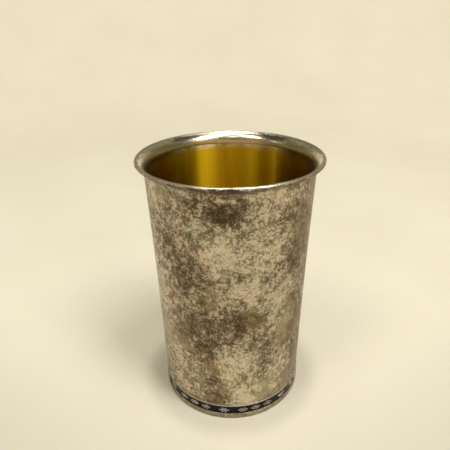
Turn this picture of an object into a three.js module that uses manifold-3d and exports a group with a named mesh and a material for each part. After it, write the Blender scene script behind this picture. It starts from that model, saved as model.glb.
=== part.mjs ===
// A small tapered silver beaker for a single shot: spun wall with a flared lip, gilded inside, and an
// enamelled ornament strip and a plain foot ring at its base.
// Units are millimetres. +Z runs up the axis to the mouth, the foot stands on z = 0, and -Y is the front.
import * as THREE from "three";
import { mergeVertices } from "three/addons/utils/BufferGeometryUtils.js";
import Module from "manifold-3d";

const wasm = await Module();
wasm.setup();

// Overall form
const HEIGHT = 64;
const LIP_RADIUS = 21.8;
const BASE_RADIUS = 18.28;
const BASE_SLOPE = 0.011; // how fast the wall opens at the base, mm per mm of height
const SWEEP = 0.00025; // how much more it opens further up, mm per mm squared
const WALL = 0.65;

// Flared lip
const LIP_START = 61.15;
const LIP_BEND_OUTSIDE = 2;
const LIP_BEND_INSIDE = 3;
const LIP_RISE = THREE.MathUtils.degToRad(30); // slope of the flare where it meets the rolled edge
const LIP_EDGE_RADIUS = 0.42;

// Foot ring
const FOOT_HEIGHT = 1.57;
const FOOT_OUTER_RADIUS = 18.43;
const FOOT_INNER_RADIUS = 16.9;
const FOOT_EDGE_RADIUS = 0.35;

// Floor of the cup
const PLATE_TOP = 2.4;
const GILT_THICKNESS = 0.1;
const GILT_CORNER_RADIUS = 1.2;
const SOLDER_LEG = 0.55;

// Ornament strip: a floor, a raised upper border, and motifs that stand through the enamel
const STRIP_TOP = 4.3;
const BORDER_HEIGHT = 0.34;
const BORDER_STANDS_PROUD = 0.05;
const STRIP_THICKNESS = 0.4;
const ENAMEL_DEPTH = 0.27;
const ENAMEL_GAP = 0.03;

// Motifs on the strip: in each repeat one rosette, then three split lozenges with a solid core
const REPEATS = 7;
const FIRST_ROSETTE = THREE.MathUtils.degToRad(-6.5); // from the front, towards +X
const LOZENGES_PER_REPEAT = 3;
const LOZENGE_PITCH = THREE.MathUtils.degToRad(10.6);
const LOZENGE_WIDTH = 2.6;
const LOZENGE_HEIGHT = 1.7;
const LOZENGE_SPLIT = 0.34;
const STROKE_WIDTH = 0.22;
const CORE_WIDTH = 1;
const CORE_HEIGHT = 0.66;
const PETAL_WIDTH = 0.4;
const PETAL_OVERLAP = 0.12; // how far each petal runs past the middle, so that they join there
const LONG_PETAL = 1.35; // the two that lie along the strip
const SHORT_PETAL = 1.08;
const SHORT_PETAL_SLOPE = 52; // degrees between a short petal and the strip's direction

// Fineness of the round surfaces
const SEGMENTS_AROUND = 64;
const WALL_STEPS = 4;
const BEND_STEPS = 5;
const EDGE_STEPS = 6;
const CORNER_STEPS = 3;

const point = (radius, height) => new THREE.Vector2(radius, height);
const wallRadius = (height) => BASE_RADIUS + BASE_SLOPE * height + SWEEP * height * height;
const wallLean = Math.atan(BASE_SLOPE + 2 * SWEEP * LIP_START);
const innerRadiusAtFloor = wallRadius(PLATE_TOP) - WALL;
const seatRadius = wallRadius(STRIP_TOP) - STRIP_THICKNESS;
const enamelTop = STRIP_TOP - BORDER_HEIGHT;
const enamelRadius = wallRadius((FOOT_HEIGHT + enamelTop) / 2);
const enamelFloorRadius = enamelRadius - ENAMEL_DEPTH;

// Points along a circular arc of a profile, from one angle to another.
function arcPoints(centre, radius, startAngle, endAngle, steps) {
  return Array.from({ length: steps + 1 }, (_, i) => {
    const angle = startAngle + ((endAngle - startAngle) * i) / steps;
    return point(centre.x + radius * Math.cos(angle), centre.y + radius * Math.sin(angle));
  });
}

// Points up the wall, at a given depth inside its outer surface.
function wallPoints(from, to, depth) {
  return Array.from({ length: WALL_STEPS + 1 }, (_, i) => {
    const height = from + ((to - from) * i) / WALL_STEPS;
    return point(wallRadius(height) - depth, height);
  });
}

// The bend that carries one side of the wall over into the flare, tangent to the wall at its start.
function lipBend(start, bendRadius) {
  const centre = point(
    start.x + bendRadius * Math.cos(wallLean),
    start.y - bendRadius * Math.sin(wallLean),
  );
  return arcPoints(centre, bendRadius, Math.PI - wallLean, Math.PI / 2 + LIP_RISE, BEND_STEPS);
}

// Turns a profile round the axis. It starts and ends on the axis, or closes on its first point.
function turned(profile) {
  return new THREE.LatheGeometry(profile, SEGMENTS_AROUND).rotateX(Math.PI / 2);
}

function turnedRing(profile) {
  return turned([...profile, profile[0].clone()]);
}

function rectangleRing(innerRadius, outerRadius, bottom, top) {
  return turnedRing([
    point(innerRadius, bottom),
    point(outerRadius, bottom),
    point(outerRadius, top),
    point(innerRadius, top),
  ]);
}

function solidFrom(geometry) {
  const positions = geometry.clone();
  positions.deleteAttribute("normal");
  positions.deleteAttribute("uv");
  const merged = mergeVertices(positions, 1e-3);
  const mesh = new wasm.Mesh({
    numProp: 3,
    vertProperties: Float32Array.from(merged.attributes.position.array),
    triVerts: Uint32Array.from(merged.index.array),
  });
  return new wasm.Manifold(mesh);
}

function geometryFrom(solid) {
  const mesh = solid.getMesh();
  const geometry = new THREE.BufferGeometry();
  geometry.setAttribute("position", new THREE.BufferAttribute(mesh.vertProperties, 3));
  geometry.setIndex(new THREE.BufferAttribute(mesh.triVerts, 1));
  geometry.computeVertexNormals();
  return geometry;
}

// Spun silver wall with its lip. Its lower end is turned down to a sleeve that the strip fits over.
function bodyGeometry() {
  const edgeCentre = point(LIP_RADIUS - LIP_EDGE_RADIUS, HEIGHT - LIP_EDGE_RADIUS);
  const outside = wallPoints(STRIP_TOP, LIP_START, 0);
  const outerBend = lipBend(outside.at(-1), LIP_BEND_OUTSIDE);
  const rolledEdge = arcPoints(
    edgeCentre,
    LIP_EDGE_RADIUS,
    LIP_RISE - Math.PI / 2,
    LIP_RISE + Math.PI / 2,
    EDGE_STEPS,
  );
  const inside = wallPoints(PLATE_TOP, LIP_START, WALL);
  const innerBend = lipBend(inside.at(-1), LIP_BEND_INSIDE);
  return turnedRing([
    point(innerRadiusAtFloor, FOOT_HEIGHT),
    point(seatRadius, FOOT_HEIGHT),
    point(seatRadius, STRIP_TOP),
    ...outside.slice(0, -1),
    ...outerBend,
    ...rolledEdge,
    ...innerBend.reverse(),
    ...inside.slice(0, -1).reverse(),
  ]);
}

// Gilding of the inside, drawn as a thin cup. It stops where the lip starts to flare.
function liningGeometry() {
  const corner = point(
    innerRadiusAtFloor - GILT_THICKNESS - GILT_CORNER_RADIUS,
    PLATE_TOP + GILT_THICKNESS + GILT_CORNER_RADIUS,
  );
  const insideCorner = arcPoints(corner, GILT_CORNER_RADIUS, 0, -Math.PI / 2, CORNER_STEPS);
  const against = wallPoints(PLATE_TOP, LIP_START, WALL);
  const inside = wallPoints(PLATE_TOP, LIP_START, WALL + GILT_THICKNESS).slice(1);
  return turned([
    point(0, PLATE_TOP),
    ...against,
    ...inside.reverse(),
    ...insideCorner,
    point(0, PLATE_TOP + GILT_THICKNESS),
  ]);
}

// Flat bottom, soldered inside the sleeve and standing on the foot ring.
function plateGeometry() {
  return turned([
    point(0, FOOT_HEIGHT),
    point(innerRadiusAtFloor, FOOT_HEIGHT),
    point(innerRadiusAtFloor, PLATE_TOP),
    point(0, PLATE_TOP),
  ]);
}

// Plain foot ring with a rounded outer edge.
function footGeometry() {
  const edgeCentre = point(FOOT_OUTER_RADIUS - FOOT_EDGE_RADIUS, FOOT_EDGE_RADIUS);
  return turnedRing([
    point(FOOT_INNER_RADIUS, 0),
    ...arcPoints(edgeCentre, FOOT_EDGE_RADIUS, -Math.PI / 2, 0, CORNER_STEPS),
    point(FOOT_OUTER_RADIUS, FOOT_HEIGHT),
    point(FOOT_INNER_RADIUS, FOOT_HEIGHT),
  ]);
}

// Bead of solder in the corner under the bottom plate.
function solderGeometry() {
  return turnedRing([
    point(FOOT_INNER_RADIUS, FOOT_HEIGHT),
    point(FOOT_INNER_RADIUS - SOLDER_LEG, FOOT_HEIGHT),
    point(FOOT_INNER_RADIUS, FOOT_HEIGHT - SOLDER_LEG),
  ]);
}

// One half of a split lozenge: a bent stroke that points away from the middle. margin widens it all round.
function chevronShape(side, margin) {
  const halfStroke = STROKE_WIDTH / 2 + margin;
  const halfHeight = LOZENGE_HEIGHT / 2;
  const halfWidth = LOZENGE_WIDTH / 2;
  const start = LOZENGE_SPLIT / 2 - margin;
  const across = halfStroke / Math.sin(Math.atan2(halfHeight, halfWidth));
  const edgeHeight = (x, reach) => (halfHeight * (reach - x)) / halfWidth;
  const outerReach = halfWidth + margin;
  const innerReach = outerReach - 2 * across;
  const outline = [
    [start, -edgeHeight(start, outerReach)],
    [outerReach, 0],
    [start, edgeHeight(start, outerReach)],
    [start, edgeHeight(start, innerReach)],
    [innerReach, 0],
    [start, -edgeHeight(start, innerReach)],
  ];
  return new THREE.Shape(outline.map(([x, y]) => point(side * x, y)));
}

// A solid diamond from near to far along x, turned about the middle of the motif by an angle in degrees.
function diamondShape(near, far, width, margin, turn) {
  const middle = (near + far) / 2;
  const halfWidth = width / 2 + margin;
  const outline = [
    [near - margin, 0],
    [middle, -halfWidth],
    [far + margin, 0],
    [middle, halfWidth],
  ];
  const angle = THREE.MathUtils.degToRad(turn);
  return new THREE.Shape(outline.map(([x, y]) => point(x, y).rotateAround(point(0, 0), angle)));
}

function lozengeShapes(margin) {
  const core = diamondShape(-CORE_WIDTH / 2, CORE_WIDTH / 2, CORE_HEIGHT, margin, 0);
  return [core, ...[-1, 1].map((side) => chevronShape(side, margin))];
}

// Six petals that point away from the middle, where they join.
function rosetteShapes(margin) {
  const petal = (length, turn) => diamondShape(-PETAL_OVERLAP, length, PETAL_WIDTH, margin, turn);
  return [0, 180].flatMap((along) => [
    petal(LONG_PETAL, along),
    petal(SHORT_PETAL, along - SHORT_PETAL_SLOPE),
    petal(SHORT_PETAL, along + SHORT_PETAL_SLOPE),
  ]);
}

// Prisms of a flat motif, standing straight out of the strip at an angle round the axis.
function motifPrisms(shapes, angle) {
  const from = seatRadius + (enamelFloorRadius - seatRadius) / 2;
  const depth = BASE_RADIUS + 1 - from;
  return shapes.map((shape) => {
    const prism = new THREE.ExtrudeGeometry(shape, { depth, bevelEnabled: false, steps: 1 });
    prism.translate(0, (FOOT_HEIGHT + enamelTop) / 2, from);
    return solidFrom(prism.rotateX(Math.PI / 2).rotateZ(angle));
  });
}

// Every motif round the strip. margin widens the strokes, for the holes that they stand in.
function motifSolids(margin) {
  const repeatAngle = (2 * Math.PI) / REPEATS;
  const solids = [];
  for (let repeat = 0; repeat < REPEATS; repeat++) {
    const rosetteAngle = FIRST_ROSETTE + repeat * repeatAngle;
    solids.push(...motifPrisms(rosetteShapes(margin), rosetteAngle));
    for (let i = 0; i < LOZENGES_PER_REPEAT; i++) {
      const offset = (i - (LOZENGES_PER_REPEAT - 1) / 2) * LOZENGE_PITCH;
      const lozengeAngle = rosetteAngle + repeatAngle / 2 + offset;
      solids.push(...motifPrisms(lozengeShapes(margin), lozengeAngle));
    }
  }
  return solids;
}

// Struck silver strip: a thin floor behind the enamel, a raised upper border and the raised motifs.
function stripGeometry() {
  const borderRadius = wallRadius(STRIP_TOP) + BORDER_STANDS_PROUD;
  const strip = solidFrom(
    turnedRing([
      point(seatRadius, FOOT_HEIGHT),
      point(enamelFloorRadius, FOOT_HEIGHT),
      point(enamelFloorRadius, enamelTop),
      point(borderRadius, enamelTop),
      point(borderRadius, STRIP_TOP),
      point(seatRadius, STRIP_TOP),
    ]),
  );
  const flush = solidFrom(rectangleRing(seatRadius, enamelRadius, FOOT_HEIGHT, enamelTop));
  return geometryFrom(
    motifSolids(0).reduce((joined, motif) => joined.add(motif.intersect(flush)), strip),
  );
}

// Black enamel that fills the strip round the motifs.
function enamelGeometry() {
  const fill = solidFrom(
    rectangleRing(
      enamelFloorRadius + ENAMEL_GAP,
      enamelRadius,
      FOOT_HEIGHT + ENAMEL_GAP,
      enamelTop - ENAMEL_GAP,
    ),
  );
  return geometryFrom(motifSolids(ENAMEL_GAP).reduce((left, motif) => left.subtract(motif), fill));
}

const metal = (color, roughness) => new THREE.MeshStandardMaterial({ color, roughness, metalness: 1 });
const tarnishedSilver = metal(0x9a8c78, 0.42);
const gilding = metal(0xb98a1e, 0.28);
const dullSilver = metal(0x8f8676, 0.5);
const brightSilver = metal(0xc9c3b6, 0.25);
const solder = metal(0x77736b, 0.6);
const blackEnamel = new THREE.MeshStandardMaterial({ color: 0x120d12, roughness: 0.18, metalness: 0 });

function part(name, geometry, material) {
  const mesh = new THREE.Mesh(geometry, material);
  mesh.name = name;
  return mesh;
}

const group = new THREE.Group();
group.add(
  part("cup_body", bodyGeometry(), tarnishedSilver),
  part("gilt_lining", liningGeometry(), gilding),
  part("bottom_plate", plateGeometry(), dullSilver),
  part("motif_strip", stripGeometry(), brightSilver),
  part("enamel_fill", enamelGeometry(), blackEnamel),
  part("foot_ring", footGeometry(), brightSilver),
  part("solder_bead", solderGeometry(), solder),
);

export default group;
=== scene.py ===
"""A tarnished silver shot cup, gilded inside, with an enamelled ornament strip, on cream paper."""

from functools import partial
import math

import bmesh
import bpy
from mathutils import Matrix, Vector, noise


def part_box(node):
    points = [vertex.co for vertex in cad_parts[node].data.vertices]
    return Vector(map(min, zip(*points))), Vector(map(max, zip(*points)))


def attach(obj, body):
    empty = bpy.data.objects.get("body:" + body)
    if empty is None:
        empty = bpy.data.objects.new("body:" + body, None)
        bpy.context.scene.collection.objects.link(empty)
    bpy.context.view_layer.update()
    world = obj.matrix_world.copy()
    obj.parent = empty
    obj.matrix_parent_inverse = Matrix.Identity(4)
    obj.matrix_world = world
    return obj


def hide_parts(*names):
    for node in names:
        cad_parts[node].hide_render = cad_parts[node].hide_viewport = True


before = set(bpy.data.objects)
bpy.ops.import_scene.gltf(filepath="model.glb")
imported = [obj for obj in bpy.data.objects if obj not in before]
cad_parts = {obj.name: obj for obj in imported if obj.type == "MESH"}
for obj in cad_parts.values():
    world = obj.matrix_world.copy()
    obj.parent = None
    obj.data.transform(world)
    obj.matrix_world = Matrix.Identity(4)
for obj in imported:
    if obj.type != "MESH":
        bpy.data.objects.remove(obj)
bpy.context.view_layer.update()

MM = 0.001

# Sizes that the CAD parts in model.glb give, in millimetres
_, body_top = (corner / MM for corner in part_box("cup_body"))
_, strip_top = (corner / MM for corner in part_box("motif_strip"))
_, enamel_high = (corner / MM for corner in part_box("enamel_fill"))
_, foot_top = (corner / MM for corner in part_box("foot_ring"))
_, plate_top = (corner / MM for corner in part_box("bottom_plate"))
_, lining_top = (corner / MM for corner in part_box("gilt_lining"))
solder_low, _ = (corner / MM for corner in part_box("solder_bead"))

HEIGHT = body_top.z
LIP_RADIUS = body_top.x
LIP_START = lining_top.z
STRIP_TOP = strip_top.z
BORDER_RADIUS = strip_top.x
ENAMEL_TOP = enamel_high.z
ENAMEL_RADIUS = enamel_high.x
FOOT_HEIGHT = foot_top.z
FOOT_RADIUS = foot_top.x
FLOOR_RADIUS = plate_top.x
FLOOR_HEIGHT = plate_top.z

# The wall's shape, as in the CAD model
BASE_RADIUS = 18.28
BASE_SLOPE = 0.011
SWEEP = 0.00025
WALL = 0.65
GILT_THICKNESS = 0.1
GILT_CORNER_RADIUS = 1.2
STRIP_THICKNESS = 0.4
LIP_BEND_OUTSIDE = 2
LIP_BEND_INSIDE = 3
LIP_RISE = math.radians(30)
LIP_EDGE_RADIUS = 0.42
FOOT_INNER_RADIUS = 16.9
FOOT_EDGE_RADIUS = 0.35

# Finer shape than the CAD model's
LINING_TAPER = 9
LINING_TAPER_STEPS = 18
PLATE_DISHING = 0.1
FOOT_UPPER_ROUND = 0.16
FOOT_INNER_ROUND = 0.2
SOLDER_OVERLAP = 0.05
STRIP_FLOOR_DEPTH = 0.2
STRIP_FLOOR_BEVEL = 0.02
STROKE_RISE = 0.045
STROKE_FOOT_SPREAD = 0.03
ENAMEL_DEPTH = 0.18
ENAMEL_SINK = 0.035
ENAMEL_UNDER_FOOT = 0.02
ENAMEL_UNDER_BORDER = 0.06

# Unevenness of the silver: the depth of wide dents, small dents and nicks
WIDE_DENTS = 0.09
SMALL_DENTS = 0.025
NICK_DEPTH = 0.12
NICK_THRESHOLD = 0.35

# The ornament, as in the CAD model
REPEATS = 7
FIRST_ROSETTE = math.radians(-6.5)
LOZENGES_PER_REPEAT = 3
LOZENGE_PITCH = math.radians(10.6)
LOZENGE_WIDTH = 2.6
LOZENGE_HEIGHT = 1.7
LOZENGE_SPLIT = 0.34
STROKE_WIDTH = 0.22
CORE_WIDTH = 1
CORE_HEIGHT = 0.66
PETAL_WIDTH = 0.4
PETAL_OVERLAP = 0.12
LONG_PETAL = 1.35
SHORT_PETAL = 1.08
SHORT_PETAL_SLOPE = 52

# Steps round the cup in every turned piece, and up the wall
SEGMENTS = 320
WALL_STEPS = 64

# In metres: how near vertices are merged, and how short an edge is removed
COINCIDENT = 1e-8
DEGENERATE = 1e-9


# ---------------------------------------------------------------- geometry


def wall_radius(height):
    return BASE_RADIUS + BASE_SLOPE * height + SWEEP * height * height


WALL_LEAN = math.atan(BASE_SLOPE + 2 * SWEEP * LIP_START)
SEAT_RADIUS = wall_radius(STRIP_TOP) - STRIP_THICKNESS


def arc(centre, radius, start, end, steps):
    """Points of a circular arc of a profile, its angles in radians."""
    angles = [start + (end - start) * i / steps for i in range(steps + 1)]
    return [(centre[0] + radius * math.cos(a), centre[1] + radius * math.sin(a)) for a in angles]


def line(start, end, steps):
    """Evenly spaced points of a straight run of a profile, its end left out."""
    return [
        (start[0] + (end[0] - start[0]) * i / steps, start[1] + (end[1] - start[1]) * i / steps)
        for i in range(steps)
    ]


def wall_run(low, high, depth):
    """Points up the wall, at a given depth inside its outer surface."""
    heights = [low + (high - low) * i / WALL_STEPS for i in range(WALL_STEPS + 1)]
    return [(wall_radius(z) - depth, z) for z in heights]


def lip_bend(start, bend_radius):
    """The bend that carries one side of the wall over into the flare."""
    centre = (
        start[0] + bend_radius * math.cos(WALL_LEAN),
        start[1] - bend_radius * math.sin(WALL_LEAN),
    )
    return arc(centre, bend_radius, math.pi - WALL_LEAN, math.pi / 2 + LIP_RISE, 14)


def object_from(name, vertices, faces, sharp=35):
    """A smooth-shaded object in metres from vertices in mm. Edges over an angle stay sharp."""
    mesh = bpy.data.meshes.new(name)
    mesh.from_pydata([Vector(v) * MM for v in vertices], [], faces)
    tidy = bmesh.new()
    tidy.from_mesh(mesh)
    bmesh.ops.remove_doubles(tidy, verts=tidy.verts, dist=COINCIDENT)
    bmesh.ops.dissolve_degenerate(tidy, edges=tidy.edges, dist=DEGENERATE)
    tidy.to_mesh(mesh)
    tidy.free()
    mesh.shade_smooth()
    mesh.set_sharp_from_angle(angle=math.radians(sharp))
    thing = bpy.data.objects.new(name, mesh)
    bpy.context.scene.collection.objects.link(thing)
    return thing


def turned(name, profile, shape=None, closed=True):
    """An object turned from (radius, height) points. shape(angle, radius, height) moves each."""
    vertices = []
    for i in range(SEGMENTS):
        angle = 2 * math.pi * i / SEGMENTS
        for radius, height in profile:
            if shape:
                radius, height = shape(angle, radius, height)
            vertices.append((radius * math.sin(angle), -radius * math.cos(angle), height))
    count = len(profile)
    faces = []
    for i in range(SEGMENTS):
        here = i * count
        following = (i + 1) % SEGMENTS * count
        for j in range(count if closed else count - 1):
            above = (j + 1) % count
            faces.append((here + j, following + j, following + above, here + above))
    return object_from(name, vertices, faces)


def hand_worn(angle, radius, height):
    """Slight unevenness of the thin wall: it only ever goes inwards from the true shape."""
    rough_radius = 22
    spot = Vector((math.sin(angle), -math.cos(angle), height / rough_radius))
    wide = 0.5 + 0.5 * noise.noise(spot * 1.4 + Vector((3, 1, 4)))
    small = 0.5 + 0.5 * noise.noise(spot * 4.5 + Vector((1, 5, 9)))
    return radius - WIDE_DENTS * wide - SMALL_DENTS * small, height


def ring_worn(angle, radius, height):
    """Fine nicks in the foot ring."""
    round_scale, upright_scale = 14, 1.5
    spot = Vector(
        (math.sin(angle) * round_scale, -math.cos(angle) * round_scale, height * upright_scale)
    )
    nick = max(0, noise.noise(spot) - NICK_THRESHOLD)
    return radius - NICK_DEPTH * nick, height


def cup_body():
    edge_centre = (LIP_RADIUS - LIP_EDGE_RADIUS, HEIGHT - LIP_EDGE_RADIUS)
    outside = wall_run(STRIP_TOP, LIP_START, 0)
    inside = wall_run(FLOOR_HEIGHT, LIP_START, WALL)
    outer_bend = lip_bend(outside[-1], LIP_BEND_OUTSIDE)
    rolled_edge = arc(
        edge_centre, LIP_EDGE_RADIUS, LIP_RISE - math.pi / 2, LIP_RISE + math.pi / 2, 18
    )
    inner_bend = lip_bend(inside[-1], LIP_BEND_INSIDE)
    profile = [
        (FLOOR_RADIUS, FOOT_HEIGHT),
        (SEAT_RADIUS, FOOT_HEIGHT),
        (SEAT_RADIUS, STRIP_TOP),
        *outside[:-1],
        *outer_bend[:-1],
        *line(outer_bend[-1], rolled_edge[0], 4),
        *rolled_edge[:-1],
        *line(rolled_edge[-1], inner_bend[-1], 4),
        *reversed(inner_bend[1:]),
        *reversed(inside),
    ]
    return turned("silver_wall", profile, hand_worn)


def gilt_lining():
    """A thin cup whose upper edge thins away to nothing where the lip starts."""
    depth = WALL + GILT_THICKNESS
    corner = (
        FLOOR_RADIUS - GILT_THICKNESS - GILT_CORNER_RADIUS,
        FLOOR_HEIGHT + GILT_THICKNESS + GILT_CORNER_RADIUS,
    )
    corner_bend = arc(corner, GILT_CORNER_RADIUS, 0, -math.pi / 2, 10)
    against = wall_run(FLOOR_HEIGHT, LIP_START, WALL)
    inside = wall_run(corner[1], LIP_START - LINING_TAPER, depth)
    taper_step = LINING_TAPER / LINING_TAPER_STEPS
    thinned = [
        (wall_radius(z) - WALL - GILT_THICKNESS * (LIP_START - z) / LINING_TAPER, z)
        for z in (LIP_START - taper_step * i for i in range(1, LINING_TAPER_STEPS))
    ]
    floor = line(corner_bend[-1], (0, FLOOR_HEIGHT + GILT_THICKNESS), 24)
    profile = [
        (0, FLOOR_HEIGHT),
        *against,
        *thinned,
        *reversed(inside[1:]),
        *corner_bend,
        *floor[1:],
        (0, FLOOR_HEIGHT + GILT_THICKNESS),
    ]
    return turned("gold_lining", profile, hand_worn, closed=False)


def bottom_plate():
    """The underside is very slightly dished, as a spun disc is."""
    underside = [
        (radius, FOOT_HEIGHT + PLATE_DISHING * (1 - (radius / FLOOR_RADIUS) ** 2))
        for radius in range(math.ceil(FLOOR_RADIUS))
    ]
    profile = [
        *underside,
        (FLOOR_RADIUS, FOOT_HEIGHT),
        (FLOOR_RADIUS, FLOOR_HEIGHT),
        (0, FLOOR_HEIGHT),
    ]
    return turned("base_disc", profile, closed=False)


def foot_ring():
    lower_edge = (FOOT_RADIUS - FOOT_EDGE_RADIUS, FOOT_EDGE_RADIUS)
    upper_edge = (FOOT_RADIUS - FOOT_UPPER_ROUND, FOOT_HEIGHT - FOOT_UPPER_ROUND)
    inner_edge = (FOOT_INNER_RADIUS + FOOT_INNER_ROUND, FOOT_INNER_ROUND)
    profile = [
        *arc(inner_edge, FOOT_INNER_ROUND, math.pi, 1.5 * math.pi, 5),
        *arc(lower_edge, FOOT_EDGE_RADIUS, -math.pi / 2, 0, 8),
        *line(
            (FOOT_RADIUS, FOOT_EDGE_RADIUS), (FOOT_RADIUS, FOOT_HEIGHT - FOOT_UPPER_ROUND), 4
        )[1:],
        *arc(upper_edge, FOOT_UPPER_ROUND, 0, math.pi / 2, 6),
        (FOOT_INNER_RADIUS, FOOT_HEIGHT),
    ]
    return turned("foot_rim", profile, ring_worn)


def solder_bead():
    """A hollow-faced fillet in the corner, a little uneven as it flowed."""
    leg = FOOT_HEIGHT - solder_low.z

    def flowed(angle, radius, height):
        ripple_scale = 5
        spot = Vector((math.sin(angle) * ripple_scale, math.cos(angle) * ripple_scale, 0))
        share = 0.8 + 0.2 * noise.noise(spot)
        return (
            FOOT_INNER_RADIUS - (FOOT_INNER_RADIUS - radius) * share,
            FOOT_HEIGHT - (FOOT_HEIGHT - height) * share,
        )

    face_centre = (FOOT_INNER_RADIUS - leg, FOOT_HEIGHT - leg)
    profile = [
        (FOOT_INNER_RADIUS, FOOT_HEIGHT + SOLDER_OVERLAP),
        *arc(face_centre, leg, math.pi / 2, 0, 8),
    ]
    return turned("solder_fillet", profile, flowed)


def chevron(side, margin):
    """Half of a split lozenge, as an outline round the middle of the motif."""
    half_stroke = STROKE_WIDTH / 2 + margin
    half_height = LOZENGE_HEIGHT / 2
    half_width = LOZENGE_WIDTH / 2
    start = LOZENGE_SPLIT / 2 - margin
    across = half_stroke / math.sin(math.atan2(half_height, half_width))
    outer_reach = half_width + margin
    inner_reach = outer_reach - 2 * across

    def edge_height(x, reach):
        return half_height * (reach - x) / half_width

    outline = [
        (start, -edge_height(start, outer_reach)),
        (outer_reach, 0),
        (start, edge_height(start, outer_reach)),
        (start, edge_height(start, inner_reach)),
        (inner_reach, 0),
        (start, -edge_height(start, inner_reach)),
    ]
    if side < 0:
        outline = [(-x, y) for x, y in reversed(outline)]
    return outline


def diamond(near, far, width, turn, margin):
    """A pointed leaf with bowed sides, from near to far, turned by degrees round the middle."""
    steps = 6
    start = near - margin
    half_width = width / 2 + margin
    lower = []
    for i in range(steps + 1):
        share = i / steps
        x = start + (far - near + 2 * margin) * share
        lower.append((x, -half_width * math.sin(math.pi * share)))
    outline = lower + [(x, -y) for x, y in reversed(lower[1:-1])]
    cos, sin = math.cos(math.radians(turn)), math.sin(math.radians(turn))
    return [(x * cos - y * sin, x * sin + y * cos) for x, y in outline]


def rosette_outlines():
    """Functions of margin that give each petal's outline."""
    for along in (0, 180):
        yield partial(diamond, -PETAL_OVERLAP, LONG_PETAL, PETAL_WIDTH, along)
        for slope in (-SHORT_PETAL_SLOPE, SHORT_PETAL_SLOPE):
            yield partial(diamond, -PETAL_OVERLAP, SHORT_PETAL, PETAL_WIDTH, along + slope)


def lozenge_outlines():
    yield partial(diamond, -CORE_WIDTH / 2, CORE_WIDTH / 2, CORE_HEIGHT, 0)
    for side in (-1, 1):
        yield partial(chevron, side)


def motif_outlines():
    """(angle round the cup, function of margin that gives an outline) for each stroke and petal."""
    repeat_angle = 2 * math.pi / REPEATS
    for repeat in range(REPEATS):
        rosette_angle = FIRST_ROSETTE + repeat * repeat_angle
        for outline in rosette_outlines():
            yield rosette_angle, outline
        for i in range(LOZENGES_PER_REPEAT):
            offset = (i - (LOZENGES_PER_REPEAT - 1) / 2) * LOZENGE_PITCH
            for outline in lozenge_outlines():
                yield rosette_angle + repeat_angle / 2 + offset, outline


def motif_strokes(floor_radius):
    """Every stroke and petal, standing on the strip's floor with bevelled upper edges."""
    middle = (FOOT_HEIGHT + ENAMEL_TOP) / 2
    top_radius = ENAMEL_RADIUS + STROKE_RISE
    layers = [
        (STROKE_FOOT_SPREAD, floor_radius),
        (0.0, top_radius - STROKE_RISE),
        (-STROKE_RISE, top_radius),
    ]
    vertices = []
    faces = []
    for angle, outline in motif_outlines():
        base = len(vertices)
        for margin, radius in layers:
            for x, y in outline(margin):
                turn = angle + x / ENAMEL_RADIUS
                vertices.append((radius * math.sin(turn), -radius * math.cos(turn), middle + y))
        count = len(outline(0))
        for layer in range(len(layers) - 1):
            low = base + layer * count
            for i in range(count):
                j = (i + 1) % count
                faces.append((low + i, low + j, low + count + j, low + count + i))
        top = base + (len(layers) - 1) * count
        faces.append([top + i for i in range(count)])
        faces.append([base + i for i in reversed(range(count))])
    return object_from("strip_strokes", vertices, faces, sharp=50)


def motif_strip():
    """The strip's floor and its raised border bead, with the strokes standing on the floor."""
    floor_radius = ENAMEL_RADIUS - STRIP_FLOOR_DEPTH
    bead = (STRIP_TOP - ENAMEL_TOP) / 2
    bead_centre = (BORDER_RADIUS - bead, ENAMEL_TOP + bead)
    profile = [
        (SEAT_RADIUS, FOOT_HEIGHT),
        (floor_radius, FOOT_HEIGHT),
        *line((floor_radius, FOOT_HEIGHT + STRIP_FLOOR_BEVEL), (floor_radius, ENAMEL_TOP), 3),
        *arc(bead_centre, bead, -math.pi / 2, math.pi / 2, 10),
        (SEAT_RADIUS, STRIP_TOP),
    ]
    ring = turned("motif_relief", profile)
    join_into(ring, motif_strokes(floor_radius))
    return ring


def join_into(target, other):
    """Adds other's mesh to target's, and removes other."""
    joined = bmesh.new()
    joined.from_mesh(target.data)
    joined.from_mesh(other.data)
    joined.to_mesh(target.data)
    joined.free()
    bpy.data.objects.remove(other)


def enamel_fill():
    """The enamel's face sinks a little between its edges, where it shrank in firing."""
    steps = 14
    low, high = FOOT_HEIGHT - ENAMEL_UNDER_FOOT, ENAMEL_TOP + ENAMEL_UNDER_BORDER
    face = []
    for i in range(steps + 1):
        share = i / steps
        sink = ENAMEL_SINK * math.sin(math.pi * share) ** 0.5
        face.append((ENAMEL_RADIUS - sink, low + (high - low) * share))
    back_radius = ENAMEL_RADIUS - ENAMEL_DEPTH
    profile = [(back_radius, low), *face, (back_radius, high)]
    return turned("enamel_band", profile)


# ---------------------------------------------------------------- shader building


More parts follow.
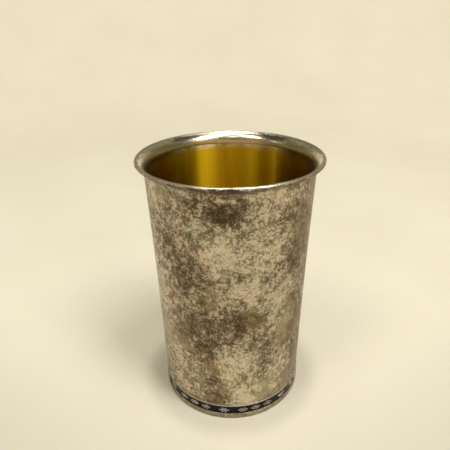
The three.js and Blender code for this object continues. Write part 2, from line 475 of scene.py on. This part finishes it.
class Shader:
    """A node material being built. Most methods add nodes and return the last one's output."""

    def __init__(self, name):
        self.material = bpy.data.materials.new(name)
        self.material.use_nodes = True
        self.tree = self.material.node_tree
        self.surface = self.tree.nodes["Principled BSDF"]
        self.coordinates = self.tree.nodes.new("ShaderNodeTexCoord")
        self.here = self.vector("SCALE", self.coordinates.outputs["Object"], scale=1 / MM)

    def wire(self, socket, value):
        if isinstance(value, bpy.types.NodeSocket):
            self.tree.links.new(value, socket)
        else:
            socket.default_value = value

    def vector(self, operation, a, b=None, scale=None):
        node = self.tree.nodes.new("ShaderNodeVectorMath")
        node.operation = operation
        self.wire(node.inputs[0], a)
        if b is not None:
            self.wire(node.inputs[1], b)
        if scale is not None:
            self.wire(node.inputs["Scale"], scale)
        return node.outputs["Value" if operation in ("LENGTH", "DOT_PRODUCT") else "Vector"]

    def maths(self, operation, a, b=0.0):
        node = self.tree.nodes.new("ShaderNodeMath")
        node.operation = operation
        self.wire(node.inputs[0], a)
        self.wire(node.inputs[1], b)
        return node.outputs[0]

    def total(self, *values):
        result = values[0]
        for value in values[1:]:
            result = self.maths("ADD", result, value)
        return result

    def noise(self, place, scale, detail=3.0, roughness=0.5, distortion=0.0):
        node = self.tree.nodes.new("ShaderNodeTexNoise")
        self.wire(node.inputs["Vector"], place)
        self.wire(node.inputs["Scale"], scale)
        self.wire(node.inputs["Detail"], detail)
        self.wire(node.inputs["Roughness"], roughness)
        self.wire(node.inputs["Distortion"], distortion)
        return node.outputs["Fac"]

    def cells(self, place, scale):
        node = self.tree.nodes.new("ShaderNodeTexVoronoi")
        self.wire(node.inputs["Vector"], place)
        self.wire(node.inputs["Scale"], scale)
        return node.outputs["Distance"]

    def scaled(self, value, amount, middle=0.5):
        """A value's distance from its middle, times an amount."""
        return self.maths("MULTIPLY", self.maths("SUBTRACT", value, middle), amount)

    def blend(self, share, a, b):
        """Goes from a to b as share goes from 0 to 1."""
        difference = self.maths("SUBTRACT", b, a)
        return self.maths("ADD", a, self.maths("MULTIPLY", difference, share))

    def remap(self, value, low, high, to_low=0.0, to_high=1.0):
        """Smooth step from low to high."""
        node = self.tree.nodes.new("ShaderNodeMapRange")
        node.interpolation_type = "SMOOTHSTEP"
        for socket, number in zip(node.inputs[:5], (value, low, high, to_low, to_high)):
            self.wire(socket, number)
        return node.outputs[0]

    def colours(self, factor, stops):
        node = self.tree.nodes.new("ShaderNodeValToRGB")
        self.wire(node.inputs[0], factor)
        ramp = node.color_ramp
        while len(ramp.elements) < len(stops):
            ramp.elements.new(0.5)
        for element, (position, colour) in zip(ramp.elements, stops):
            element.position = position
            element.color = (*colour, 1)
        return node.outputs[0]

    def mix(self, factor, a, b):
        node = self.tree.nodes.new("ShaderNodeMix")
        node.data_type = "RGBA"
        self.wire(node.inputs["Factor"], factor)
        for socket, colour in ((node.inputs[6], a), (node.inputs[7], b)):
            self.wire(socket, colour if isinstance(colour, bpy.types.NodeSocket) else (*colour, 1))
        return node.outputs[2]

    def part(self, axis):
        """One coordinate of the place, in millimetres."""
        node = self.tree.nodes.new("ShaderNodeSeparateXYZ")
        self.wire(node.inputs[0], self.here)
        return node.outputs[axis]

    def height(self):
        return self.part("Z")

    def sideways(self, middle=0.0):
        """How far the place is to the left or right of a middle."""
        return self.maths("ABSOLUTE", self.maths("SUBTRACT", self.part("X"), middle))

    def outward(self):
        """How far the surface faces away from the axis: 1 outside the wall, -1 inside it."""
        from_axis = self.vector("NORMALIZE", self.squeezed(self.here, 0.0))
        return self.vector("DOT_PRODUCT", from_axis, self.coordinates.outputs["Normal"])

    def twisted(self, turns_per_mm, offset=(0.0, 0.0, 0.0)):
        """Coordinates turned about the axis as they rise, so that upright streaks lean."""
        node = self.tree.nodes.new("ShaderNodeVectorRotate")
        node.rotation_type = "Z_AXIS"
        self.wire(node.inputs["Vector"], self.here)
        angle = self.maths("MULTIPLY", self.height(), turns_per_mm * 2 * math.pi)
        self.wire(node.inputs["Angle"], angle)
        return self.vector("ADD", node.outputs[0], offset)

    def squeezed(self, place, upright):
        """Coordinates that change more slowly up the cup, which draws marks out into streaks."""
        return self.vector("MULTIPLY", place, (1.0, 1.0, upright))

    def bump(self, height, distance, strength):
        node = self.tree.nodes.new("ShaderNodeBump")
        self.wire(node.inputs["Height"], height)
        node.inputs["Distance"].default_value = distance * MM
        node.inputs["Strength"].default_value = strength
        return node.outputs[0]

    def finish(self, colour, metallic, roughness, normal, plain=()):
        """Wires the surface up, and sets the values that are the same all over it."""
        self.wire(self.surface.inputs["Base Color"], colour)
        self.wire(self.surface.inputs["Metallic"], metallic)
        self.wire(self.surface.inputs["Roughness"], roughness)
        self.wire(self.surface.inputs["Normal"], normal)
        for name, value in plain:
            self.surface.inputs[name].default_value = value
        return self.material


# ---------------------------------------------------------------- materials

# Marks on the front of the cup: degrees from the front, height and radius in mm, how much taller
# than wide, how much lighter (darker if negative), and how much more speckled (smoother if
# negative).
MARKS = (
    (-1, 58.2, 2.4, 0.8, -1.6, 0.5),
    (-8, 58.6, 5.2, 0.7, -0.4, 1.2),
    (-3, 60.4, 1.2, 0.3, 1.6, 0.3),
    (-2, 54.2, 2.6, 0.8, -0.5, -1.0),
    (-34, 48.5, 6.5, 1.0, -0.3, 1.4),
    (-44, 43.0, 4.0, 0.8, -0.4, 0.8),
    (-22, 51.5, 3.0, 1.1, 0.7, 0.6),
    (-9, 46.6, 2.2, 1.0, 0.9, -1.0),
    (-48, 57.0, 3.0, 0.8, 0.6, -0.6),
    (18, 53.5, 6.0, 1.0, 1.0, 1.0),
    (12, 45.0, 5.0, 1.0, 0.4, 0.8),
    (25, 38.0, 4.6, 0.8, 0.9, 0.6),
    (44, 55.3, 2.6, 0.6, -0.8, 0.0),
    (41, 48.0, 4.6, 1.2, -0.5, -0.4),
    (38, 42.2, 3.0, 0.5, -0.8, 0.4),
    (37, 28.8, 3.0, 0.8, 0.8, 0.4),
    (-26, 36.5, 2.8, 1.5, -0.5, -1.0),
    (-41, 33.5, 4.5, 1.0, 0.3, 1.0),
    (-50, 34.0, 9.0, 2.4, 0.5, 0.3),
    (-14, 26.0, 4.5, 1.0, -0.1, 1.0),
    (-38, 13.0, 5.0, 0.8, 0.4, 1.2),
    (8, 30.6, 3.0, 0.8, -0.35, -0.9),
    (-41, 26.5, 2.4, 1.1, -0.5, -1.0),
    (-25, 23.5, 3.2, 1.2, -0.5, -0.9),
    (35, 23.0, 2.8, 1.2, -0.3, -1.2),
    (-52, 21.3, 3.4, 0.7, 0.8, -0.8),
    (-9, 14.8, 3.2, 0.9, 0.1, -0.7),
    (3, 21.0, 6.0, 1.2, -0.7, -0.4),
    (42, 15.0, 6.0, 1.5, -0.5, -0.6),
    (20, 15.5, 5.2, 1.4, 1.6, 1.7),
    (13, 34.0, 6.0, 1.5, 0.1, 0.2),
    (-22, 9.2, 3.6, 0.9, -0.4, -0.9),
    (7, 6.6, 2.6, 0.6, 0.6, -0.7),
    (34, 8.0, 3.4, 0.8, -0.1, -1.0),
)


def marks(shader):
    """How much lighter and how much more speckled the marks make a place, with ragged outlines."""
    ragged = shader.noise(shader.here, 0.4, 5.0, 0.68)
    lightness = []
    speckling = []
    for degrees, height, radius, stretch, lighter, busier in MARKS:
        angle = math.radians(degrees)
        reach = wall_radius(height)
        centre = (reach * math.sin(angle), -reach * math.cos(angle), height)
        away = shader.vector("SUBTRACT", shader.here, centre)
        away = shader.squeezed(away, 1 / stretch)
        distance = shader.maths("DIVIDE", shader.vector("LENGTH", away), radius)
        inside = shader.remap(shader.maths("ADD", distance, shader.scaled(ragged, 1.6)), 2.3, 1.2)
        lightness.append(shader.scaled(inside, lighter, middle=0.0))
        speckling.append(shader.scaled(inside, busier, middle=0.0))
    return shader.total(*lightness), shader.total(*speckling)


# Tarnish from dark to light: (tone, colour)
GREENISH_TARNISH = (
    (0.04, (0.034, 0.022, 0.008)),
    (0.22, (0.122, 0.090, 0.037)),
    (0.38, (0.216, 0.175, 0.090)),
    (0.6, (0.345, 0.298, 0.184)),
    (0.88, (0.550, 0.500, 0.360)),
)
BROWNISH_TARNISH = (
    (0.04, (0.042, 0.022, 0.008)),
    (0.22, (0.142, 0.087, 0.036)),
    (0.38, (0.240, 0.165, 0.086)),
    (0.6, (0.375, 0.290, 0.180)),
    (0.88, (0.580, 0.485, 0.350)),
)


def tarnish_tone(shader, cloud, patches, mottle, lightness):
    """How light the tarnish is. Painted shade makes it darker just under the lip."""
    # Painted shade under the lip's overhang.
    under_lip_painted_shade = shader.remap(shader.height(), LIP_START + 0.2, LIP_START + 2.2)
    return shader.total(
        0.385,
        shader.scaled(under_lip_painted_shade, -0.2, 0.0),
        shader.scaled(cloud, 0.45),
        shader.scaled(patches, 0.8),
        shader.scaled(mottle, 0.75),
        shader.scaled(lightness, 0.16, 0.0),
    )


def grains(shader, elsewhere, tone, busy):
    """Two fine grains, gathered in clusters. They show as light flecks and as dark ones."""
    clusters = shader.noise(elsewhere, 0.55, 3.0, 0.6, 0.5)
    light_grain = shader.total(
        shader.noise(shader.here, 1.9, 6.0, 0.78, 0.9),
        shader.scaled(clusters, 0.34),
        shader.scaled(tone, 0.2),
        shader.scaled(busy, 0.2),
    )
    dark_grain = shader.total(
        shader.noise(elsewhere, 1.5, 6.0, 0.8, 0.6),
        shader.scaled(clusters, -0.3),
        shader.scaled(tone, -0.36),
        shader.scaled(busy, 0.2),
    )
    return light_grain, dark_grain


def leaning_scratches(shader):
    """Fine scratches, some leaning one way and some the other."""
    leaning = [
        shader.noise(shader.squeezed(shader.twisted(turns, (offset, 0.0, 0.0)), 0.1), 5.0, 2.0, 0.5)
        for turns, offset in ((0.009, 50.0), (-0.006, 80.0))
    ]
    return shader.remap(shader.maths("MAXIMUM", *leaning), 0.68, 0.74)


def rub_marks(shader, cloud):
    """Nearly upright rub marks, low on the cup."""
    upright = shader.noise(shader.squeezed(shader.twisted(0.0015), 0.07), 2.2, 3.0, 0.6)
    low_down = shader.remap(shader.height(), 38.0, 22.0)
    strong = shader.remap(shader.total(upright, shader.scaled(cloud, 0.3)), 0.55, 0.66)
    return shader.maths("MULTIPLY", strong, low_down)


def lip_polish(shader, patches, mottle, rim):
    """The polished lip's colour and roughness, tinted low in its bend and duller at its sides,
    where painted shade darkens the bend and the rim.
    """
    soiling = shader.total(shader.scaled(patches, 0.6), mottle)
    colour = shader.colours(
        soiling,
        ((0.30, (0.36, 0.31, 0.19)), (0.42, (0.64, 0.59, 0.43)), (0.54, (0.80, 0.76, 0.62))),
    )
    roughness = shader.remap(soiling, 0.3, 0.55, 0.24, 0.12)

    # Painted shade: the tint low in the bend goes from light gold in the middle to dark brown at
    # the sides, and reaches higher up the bend at the sides.
    sideways = shader.total(shader.sideways(), shader.scaled(patches, 4.0))
    bend_tint_and_side_shade = shader.mix(shader.remap(sideways, 5.0, 12.0), (0.62, 0.46, 0.25), (0.24, 0.19, 0.08))
    ragged = shader.total(
        shader.scaled(mottle, 1.6), shader.scaled(shader.remap(sideways, 10.0, 18.0), -0.5, 0.0)
    )
    bend_tint_and_shade_mask = shader.remap(
        shader.total(shader.height(), ragged), LIP_START + 2.1, LIP_START + 0.8
    )
    colour = shader.mix(bend_tint_and_shade_mask, colour, bend_tint_and_side_shade)
    roughness = shader.blend(bend_tint_and_shade_mask, roughness, 0.34)

    # Painted shade: away from the middle of the front, the rim is darkened, as well as made
    # rougher.
    from_front = shader.total(shader.sideways(2.0), shader.scaled(patches, 3.0))
    rim_shade_and_dullness = shader.maths("MULTIPLY", rim, shader.remap(from_front, 7.0, 10.0))
    colour = shader.mix(shader.scaled(rim_shade_and_dullness, 0.8, 0.0), colour, (0.30, 0.25, 0.16))
    roughness = shader.blend(rim, roughness, 0.27)
    roughness = shader.blend(rim_shade_and_dullness, roughness, 0.42)
    return colour, roughness


def tarnished_silver():
    """Mottled tarnish on the outside, and a polished lip and rim."""
    shader = Shader("tarnished_silver")
    elsewhere = shader.vector("ADD", shader.here, (40.0, 7.0, 13.0))
    lightness, speckling = marks(shader)
    cloud = shader.noise(shader.here, 0.09, 3.0, 0.5)
    patches = shader.noise(shader.here, 0.33, 5.0, 0.62, 0.8)
    mottle = shader.noise(elsewhere, 1.0, 4.0, 0.68, 1.0)
    tone = tarnish_tone(shader, cloud, patches, mottle, lightness)
    tint = shader.remap(shader.noise(elsewhere, 0.2, 4.0, 0.6), 0.42, 0.58)
    speckled = shader.total(
        shader.noise(elsewhere, 0.16, 3.0, 0.5), shader.scaled(speckling, 0.16, 0.0)
    )
    busy = shader.remap(speckled, 0.34, 0.58)
    light_grain, dark_grain = grains(shader, elsewhere, tone, busy)
    light_flecks = shader.remap(light_grain, 0.545, 0.625)
    dark_flecks = shader.remap(dark_grain, 0.57, 0.66)
    pit_grain = shader.total(shader.noise(shader.here, 2.6, 2.0, 0.5), shader.scaled(busy, 0.06))

    colour = shader.mix(
        tint, shader.colours(tone, GREENISH_TARNISH), shader.colours(tone, BROWNISH_TARNISH)
    )
    fleck_colour = shader.mix(tint, (0.68, 0.60, 0.44), (0.73, 0.60, 0.46))
    layers = (
        (rub_marks(shader, cloud), 0.32, (0.60, 0.52, 0.38)),
        (light_flecks, 0.74, fleck_colour),
        (dark_flecks, 0.58, (0.062, 0.034, 0.013)),
        (shader.remap(pit_grain, 0.64, 0.70), 0.7, (0.025, 0.014, 0.005)),
        (leaning_scratches(shader), 0.4, (0.66, 0.59, 0.45)),
    )
    for cover, strength, layer_colour in layers:
        colour = shader.mix(shader.scaled(cover, strength, 0.0), colour, layer_colour)
    roughness = shader.total(
        0.46, shader.scaled(dark_flecks, 0.1, 0.0), shader.scaled(light_flecks, -0.1, 0.0)
    )

    inner = shader.remap(shader.total(shader.outward(), shader.scaled(patches, 0.5)), 0.4, 0.0)
    rim_edge = shader.total(shader.height(), shader.scaled(patches, 1.2))
    rim = shader.remap(rim_edge, HEIGHT - 0.4, HEIGHT - 0.15)
    polished = shader.maths("MAXIMUM", inner, rim)
    lip_colour, lip_roughness = lip_polish(shader, patches, mottle, rim)
    colour = shader.mix(polished, colour, lip_colour)
    roughness = shader.blend(polished, roughness, lip_roughness)
    metallic = shader.remap(polished, 0.0, 1.0, 0.7, 1.0)
    relief = shader.total(shader.scaled(light_grain, 0.6, 0.0), shader.scaled(patches, 0.8, 0.0))
    normal = shader.bump(relief, 0.035, 0.5)
    coat = (("Coat Weight", 0.12), ("Coat Roughness", 0.32))
    return shader.finish(colour, metallic, roughness, normal, coat)


def gilding():
    """Gold, brushed round the cup, worn away to bare silver at the lip, with painted shade
    darkening it towards its sides.
    """
    shader = Shader("gilding")
    bands = shader.noise(shader.squeezed(shader.here, 0.01), 0.3, 2.0, 0.5)
    mottle = shader.noise(shader.here, 0.6, 5.0, 0.65)
    edge = shader.total(shader.height(), shader.scaled(mottle, 2.0))
    worn = shader.remap(edge, LIP_START - 1.7, LIP_START + 0.4)
    gold = shader.colours(bands, ((0.36, (0.52, 0.305, 0.006)), (0.64, (0.70, 0.445, 0.011))))
    bare = shader.colours(mottle, ((0.36, (0.40, 0.31, 0.13)), (0.5, (0.74, 0.60, 0.34))))
    # Painted shade: the gold and the bare silver darken towards the sides.
    sides = shader.remap(shader.total(shader.sideways(), shader.scaled(mottle, 3.0)), 11.0, 16.5)
    gold = shader.mix(shader.scaled(sides, 0.75, 0.0), gold, (0.16, 0.055, 0.001))
    bare = shader.mix(sides, bare, (0.10, 0.06, 0.012))
    colour = shader.mix(worn, gold, bare)
    roughness = shader.blend(worn, shader.remap(bands, 0.35, 0.65, 0.4, 0.35), 0.36)
    rings = shader.noise(shader.squeezed(shader.here, 12.0), 0.5, 3.0, 0.6)
    normal = shader.bump(rings, 0.01, 0.04)
    brushed = (("Anisotropic", 1.0), ("Anisotropic Rotation", 0.25))
    return shader.finish(colour, 1.0, roughness, normal, brushed)


def black_enamel():
    """Black enamel, a little cloudy and finely pitted."""
    shader = Shader("black_enamel")
    cloud = shader.noise(shader.here, 0.8, 4.0, 0.6)
    pits = shader.remap(shader.cells(shader.here, 2.6), 0.02, 0.12)
    colour = shader.colours(cloud, ((0.3, (0.002, 0.0012, 0.0015)), (0.7, (0.009, 0.005, 0.007))))
    roughness = shader.remap(cloud, 0.3, 0.7, 0.2, 0.4)
    wave = shader.noise(shader.here, 1.1, 2.0)
    normal = shader.bump(shader.maths("ADD", pits, wave), 0.02, 0.4)
    return shader.finish(colour, 0.0, roughness, normal, (("IOR", 1.22),))


def worn_silver(name, dark, light, scale, roughness_range):
    """Handled silver with soiling in its low places and fine scratches round it."""
    shader = Shader(name)
    mottle = shader.noise(shader.here, scale, 7.0, 0.68)
    scratches = shader.noise(shader.squeezed(shader.here, 14.0), 0.7, 4.0, 0.7)
    tone = shader.total(
        shader.maths("MULTIPLY", mottle, 0.75), shader.maths("MULTIPLY", scratches, 0.25)
    )
    middle = tuple((a + b) / 2 for a, b in zip(dark, light))
    colour = shader.colours(tone, ((0.34, dark), (0.5, middle), (0.62, light)))
    roughness = shader.remap(tone, 0.35, 0.65, *roughness_range)
    normal = shader.bump(tone, 0.03, 0.4)
    return shader.finish(colour, 0.9, roughness, normal)


def spun_silver():
    """The underside's faint turning rings, under stains and scuffs."""
    shader = Shader("spun_silver")
    from_axis = shader.vector("LENGTH", shader.squeezed(shader.here, 0.0))
    rings = shader.maths("SINE", shader.maths("MULTIPLY", from_axis, 15.0))
    stains = shader.noise(shader.here, 0.22, 7.0, 0.65)
    scuffs = shader.noise(shader.vector("MULTIPLY", shader.here, (0.25, 2.2, 1.0)), 1.6, 5.0, 0.7)
    tone = shader.total(
        shader.maths("MULTIPLY", stains, 0.7),
        shader.maths("MULTIPLY", scuffs, 0.25),
        shader.maths("MULTIPLY", rings, 0.02),
    )
    colour = shader.colours(
        tone, ((0.36, (0.20, 0.15, 0.09)), (0.48, (0.46, 0.39, 0.28)), (0.6, (0.68, 0.61, 0.49)))
    )
    roughness = shader.remap(tone, 0.36, 0.62, 0.52, 0.32)
    normal = shader.bump(shader.total(shader.maths("MULTIPLY", rings, 0.25), scuffs), 0.02, 0.35)
    return shader.finish(colour, 0.85, roughness, normal)


def cream_paper():
    """Paper, with painted shade: darker near the front and most at its corners, and darker where it
    rises.
    """
    shader = Shader("cream_paper")
    cloud = shader.noise(shader.here, 0.018, 3.0, 0.5)
    fibre = shader.noise(shader.here, 0.9, 5.0, 0.7)
    colour = shader.colours(cloud, ((0.3, (0.72, 0.675, 0.545)), (0.7, (0.76, 0.715, 0.585))))
    # Painted shade: darker towards the front and most at the front corners, fading out far from the
    # cup.
    forward = shader.total(
        shader.scaled(shader.part("Y"), -1.0, 0.0),
        shader.scaled(shader.sideways(), 0.5, 0.0),
    )
    near = shader.maths(
        "MULTIPLY",
        shader.remap(forward, 8.0, 68.0),
        shader.remap(shader.vector("LENGTH", shader.here), 240.0, 110.0),
    )
    colour = shader.mix(near, colour, (0.58, 0.545, 0.445))
    # Painted shade: the rising wall darkens upwards.
    raised = shader.remap(shader.height(), 130.0, 320.0)
    colour = shader.mix(raised, colour, (0.22, 0.21, 0.15))
    normal = shader.bump(fibre, 0.03, 0.25)
    return shader.finish(colour, 0.0, 0.75, normal)


# ---------------------------------------------------------------- assembly


def add_piece(piece, node, material):
    """Gives a piece its material, and puts it in a CAD node's place."""
    piece.data.materials.append(material)
    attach(piece, "root")
    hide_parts(node)


def build_cup():
    strip_silver = worn_silver(
        "strip_silver",
        (0.20, 0.165, 0.15),
        (0.62, 0.54, 0.53),
        scale=1.2,
        roughness_range=(0.5, 0.36),
    )
    foot_silver = worn_silver(
        "foot_silver",
        (0.16, 0.13, 0.08),
        (0.42, 0.37, 0.27),
        scale=0.8,
        roughness_range=(0.5, 0.36),
    )
    solder = worn_silver(
        "solder",
        (0.22, 0.20, 0.17),
        (0.42, 0.40, 0.36),
        scale=1.5,
        roughness_range=(0.65, 0.50),
    )
    add_piece(cup_body(), "cup_body", tarnished_silver())
    add_piece(gilt_lining(), "gilt_lining", gilding())
    add_piece(bottom_plate(), "bottom_plate", spun_silver())
    add_piece(motif_strip(), "motif_strip", strip_silver)
    add_piece(enamel_fill(), "enamel_fill", black_enamel())
    add_piece(foot_ring(), "foot_ring", foot_silver)
    add_piece(solder_bead(), "solder_bead", solder)


def build_stage():
    """A round sheet of paper whose edge curves up into a wall, higher behind the cup."""
    first_ring, flat_radius, bend_radius = 20, 260, 220
    front_height, back_height = 90, 530

    def higher_behind(angle, radius, height):
        if height > bend_radius:
            height += (back_height - front_height) * (1 - math.cos(angle)) / 2
        return radius, height

    bend_centre = (flat_radius, bend_radius)
    profile = [
        (0, 0),
        *line((first_ring, 0), (flat_radius, 0), 12),
        *arc(bend_centre, bend_radius, -math.pi / 2, 0, 24),
        (flat_radius + bend_radius, bend_radius + front_height),
    ]
    paper = turned("paper", profile, higher_behind, closed=False)
    paper.data.flip_normals()
    paper.data.materials.append(cream_paper())


# Soft lights: name, degrees round from the front and up from the floor, distance and (width,
# height) in metres, and power in watts. The two low ones stand inside the paper's wall.
LIGHTS = (
    ("front_right", 50, 63, 0.9, (0.25, 0.5), 5.1),
    ("front_left", -46, 63, 0.9, (0.2, 0.4), 1.6),
    ("front", -5, 60, 0.9, (0.16, 0.3), 0.25),
    ("overhead", 0, 90, 0.85, (0.06, 0.06), 1.75),
    ("behind", 180, 76, 0.8, (0.34, 0.14), 0.36),
    ("low_right", 50, 36, 0.35, (0.022, 0.022), 0.035),
    ("low_left", -78, 36, 0.35, (0.022, 0.022), 0.035),
)
LAMP_COLOUR = (1.0, 0.975, 0.93)
ROOM_COLOUR = (1.0, 0.91, 0.66, 1)
ROOM_STRENGTH = 0.06


def build_lights():
    middle = Vector((0, 0, HEIGHT / 2 * MM))
    for name, round_from_front, up, distance, size, power in LIGHTS:
        azimuth, elevation = math.radians(round_from_front), math.radians(up)
        direction = Vector(
            (
                math.cos(elevation) * math.sin(azimuth),
                -math.cos(elevation) * math.cos(azimuth),
                math.sin(elevation),
            )
        )
        lamp = bpy.data.lights.new(name, "AREA")
        lamp.shape = "RECTANGLE"
        lamp.size, lamp.size_y = size
        lamp.energy = power
        lamp.color = LAMP_COLOUR
        thing = bpy.data.objects.new(name, lamp)
        thing.location = middle + direction * distance
        thing.rotation_euler = direction.to_track_quat("Z", "Y").to_euler()
        thing.visible_camera = False
        bpy.context.scene.collection.objects.link(thing)


def build_room_light():
    world = bpy.data.worlds.new("room")
    bpy.context.scene.world = world
    world.use_nodes = True
    background = world.node_tree.nodes["Background"]
    background.inputs["Color"].default_value = ROOM_COLOUR
    background.inputs["Strength"].default_value = ROOM_STRENGTH


# The camera looks down at the cup from close by. Distances in mm from the middle of the cup's foot.
CAMERA_BACK = 99.04
CAMERA_UP = 94.25
CAMERA_PITCH = math.radians(26.02)
CAMERA_PAN = math.radians(-0.782)
CAMERA_ROLL = math.radians(-0.878)
LENS = 35.7
SENSOR = 36


def build_camera():
    forward = Vector(
        (
            math.sin(CAMERA_PAN) * math.cos(CAMERA_PITCH),
            math.cos(CAMERA_PAN) * math.cos(CAMERA_PITCH),
            -math.sin(CAMERA_PITCH),
        )
    )
    level = Vector((math.cos(CAMERA_PAN), -math.sin(CAMERA_PAN), 0))
    above = level.cross(forward)
    right = math.cos(CAMERA_ROLL) * level + math.sin(CAMERA_ROLL) * above
    up = right.cross(forward)
    camera = bpy.data.objects.new("camera", bpy.data.cameras.new("camera"))
    camera.data.lens = LENS
    camera.data.sensor_width = SENSOR
    camera.data.clip_start = 0.01
    camera.matrix_world = Matrix.Translation(Vector((0, -CAMERA_BACK, CAMERA_UP)) * MM) @ Matrix(
        (right, up, -forward)
    ).transposed().to_4x4()
    bpy.context.scene.collection.objects.link(camera)
    bpy.context.scene.camera = camera


build_cup()
build_stage()
build_lights()
build_room_light()
build_camera()
bpy.context.scene.view_settings.view_transform = "Standard"
